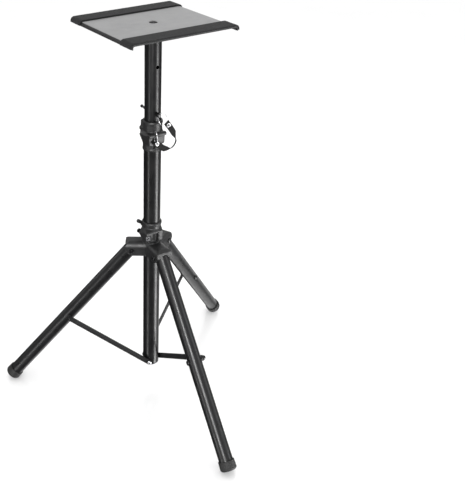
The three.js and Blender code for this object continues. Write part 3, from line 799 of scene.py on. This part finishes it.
def brace_shape():
    """A flat bar with round ends and a shallow rib pressed along its middle."""
    hw, count, across = BRACE_W / 2, 90, 16
    sections = []
    for i in range(count + 1):
        share = i / count
        x = -hw + (brace_length + 2 * hw) * share
        if i < 12:
            x = -hw * math.cos(math.pi / 2 * (i + 0.35) / 12)
        elif i > count - 12:
            x = brace_length + hw * math.cos(math.pi / 2 * (count - i + 0.35) / 12)
        reach = hw
        if x < 0:
            reach = math.sqrt(max(0.01, hw * hw - x * x))
        elif x > brace_length:
            reach = math.sqrt(max(0.01, hw * hw - (x - brace_length) ** 2))
        swell = step(x, 12, 22) * (1 - step(x, brace_length - 22, brace_length - 12))
        ring = []
        for side in (0, 1):
            for j in range(across + 1):
                z = (2 * j / across - 1) * reach * (1 if side else -1)
                rib = 0.85 * swell * (1 - step(abs(z), 1.3, 2.9))
                ring.append((x, BRACE_Y + BRACE_T * side + (rib if side else min(rib, 0.85)), z))
        sections.append(ring)
    return loft(sections)


RIVET = [(0, BRACE_Y), (2.4, BRACE_Y), (2.4, BRACE_Y + 2.8), (4.7, BRACE_Y + 2.8), (4.8, BRACE_Y + 3.1)]
RIVET += [(4.8 * math.cos(a), BRACE_Y + 3.1 + 2.6 * math.sin(a))
          for a in (math.radians(10 * i) for i in range(1, 7))]
RIVET += [(2.1, BRACE_Y + 5.3), (1.7, BRACE_Y + 4.9), (0, BRACE_Y + 4.8)]
for leg, azimuth in LEGS.items():
    line_m, flat_m = leg_line(azimuth), around(azimuth)
    pivot, tie = flat_m @ at(PIVOT_R, 0, PIVOT_Z) @ ALONG_Y, flat_m @ at(tie_x, 0, tie_z) @ ALONG_Y
    on_leg, on_brace = f"{leg}_leg", f"{leg}_brace_body"
    piece(block(f"{leg}_tube", tube(LEG["ri"], LEG["r"], -LEG["above"], LEG["rim"] + 5.8), line_m),
          on_leg, "leg_paint", f"{leg}_leg_tube")
    piece(block(f"{leg}_rubber_foot", foot_shape(), line_m), on_leg, "foot_rubber", f"{leg}_foot")
    piece(block(f"{leg}_hinge_bolt", bolt(-HOOD_OUT - GAP, 6, 3.6, 3.0, HOOD_OUT + 5.7), pivot),
          "hub", "fastener_black", f"{leg}_pivot_bolt")
    piece(block(f"{leg}_hinge_nut", nut(HOOD_OUT + GAP, HOOD_OUT + 4.3, 10, 3.3), pivot),
          "hub", "fastener_black", f"{leg}_pivot_nut")
    piece(block(f"{leg}_tie_bolt", bolt(-LEG["r"] - GAP, 5.8, 3.8, 2.9, BRACE_Y + 7.6), tie),
          on_leg, "fastener_black", f"{leg}_brace_bolt")
    piece(block(f"{leg}_tie_nut", nut(BRACE_Y + BRACE_T + GAP, BRACE_Y + BRACE_T + 4, 9, 3.2), tie),
          on_leg, "fastener_black", f"{leg}_brace_nut")
    bar_m = flat_m @ at(TIE_R, 0, TIE_Z) @ Matrix.Rotation(-brace_angle, 4, "Y")
    piece(bevel(block(f"{leg}_bar", brace_shape(), bar_m), 0.35, 2, 50),
          on_brace, "brace_paint", f"{leg}_brace")
    piece(block(f"{leg}_rivet", lathe(RIVET, 40), flat_m @ at(TIE_R, 0, TIE_Z) @ ALONG_Y),
          on_brace, "zinc", f"{leg}_brace_rivet")

# ---- floor, world and studio light ----
floor_material = Nodes("studio_floor")
floor_shader = floor_material.shader.inputs
floor_tones = [(0.3, (0.9, 0.9, 0.9)), (0.7, (0.93, 0.93, 0.93))]
floor_material.link(floor_material.ramp(floor_material.noise(3, 2), floor_tones), floor_shader["Base Color"])
floor_shader["Roughness"].default_value = 0.16
floor_shader["IOR"].default_value = 1.9
floor_shader["Emission Color"].default_value = (1, 1, 1, 1)
floor_shader["Emission Strength"].default_value = 0.14
floor = bpy.data.objects.new("floor", bpy.data.meshes.new("floor"))
floor.data.from_pydata([(-30, -30, 0), (30, -30, 0), (30, 30, 0), (-30, 30, 0)], [], [(0, 1, 2, 3)])
floor.data.materials.append(floor_material.material)
floor.location.z = cad_box[0].z - 0.0004
scene.collection.objects.link(floor)
floor.visible_glossy = floor.visible_shadow = False        # lets the low lamps draw lines on the tubes

world = scene.world or bpy.data.worlds.new("world")
scene.world = world
world.use_nodes = True
sky = world.node_tree
backdrop = sky.nodes["Background"]
height = sky.nodes.new("ShaderNodeSeparateXYZ")
sky.links.new(sky.nodes.new("ShaderNodeTexCoord").outputs["Generated"], height.inputs["Vector"])
fade = sky.nodes.new("ShaderNodeValToRGB")
for element, (place, tone) in zip(fade.color_ramp.elements, ((0.47, 0.03), (0.56, 1.0))):
    element.position, element.color = place, (tone, tone, tone, 1.0)
scaled = sky.nodes.new("ShaderNodeMapRange")
scaled.inputs["From Min"].default_value = -1.0
sky.links.new(height.outputs["Z"], scaled.inputs["Value"])
sky.links.new(scaled.outputs["Result"], fade.inputs["Fac"])
sky.links.new(fade.outputs["Color"], backdrop.inputs["Color"])
backdrop.inputs["Strength"].default_value = 0.9


def lamp(name, azimuth, height, distance, width, tall, power, fills=True):
    """A soft box that faces the stand: azimuth 0 is -Y, 90 is +X.

    One that does not fill only draws highlights on glossy pieces.
    """
    a = math.radians(azimuth)
    data = bpy.data.lights.new(name, "AREA")
    data.shape, data.size, data.size_y, data.energy = "RECTANGLE", width, tall, power
    obj = bpy.data.objects.new(name, data)
    obj.location = (math.sin(a) * distance, -math.cos(a) * distance, height)
    obj.rotation_euler = (Vector((0, 0, 0.45)) - obj.location).to_track_quat("-Z", "Y").to_euler()
    obj.visible_camera = False
    obj.visible_diffuse = fills
    scene.collection.objects.link(obj)


lamp("overhead", 0, 2.6, 0.05, 1.6, 1.6, 12)
lamp("right_low_strip", 33, -0.6, 2.0, 0.75, 2.0, 100)
lamp("left_low_strip", -84, -0.6, 2.0, 0.3, 2.0, 21)
lamp("key_strip", -43, 1.25, 2.0, 0.3, 1.6, 85, False)
lamp("rear_right_low", 116, -1.2, 2.0, 1.5, 1.5, 9, False)
lamp("underneath", 116, -1.9, 0.8, 1.7, 1.7, 17, False)
lamp("right_box", 50, 1.1, 2.0, 0.7, 1.2, 8)
lamp("left_box", -75, 1.1, 2.1, 0.4, 1.2, 5)
lamp("rear_right_box", 128, 1.1, 2.0, 0.5, 1.6, 7)
lamp("rear_left_box", 215, 1.1, 2.2, 0.4, 1.6, 4)
scene.view_settings.view_transform = "Standard"
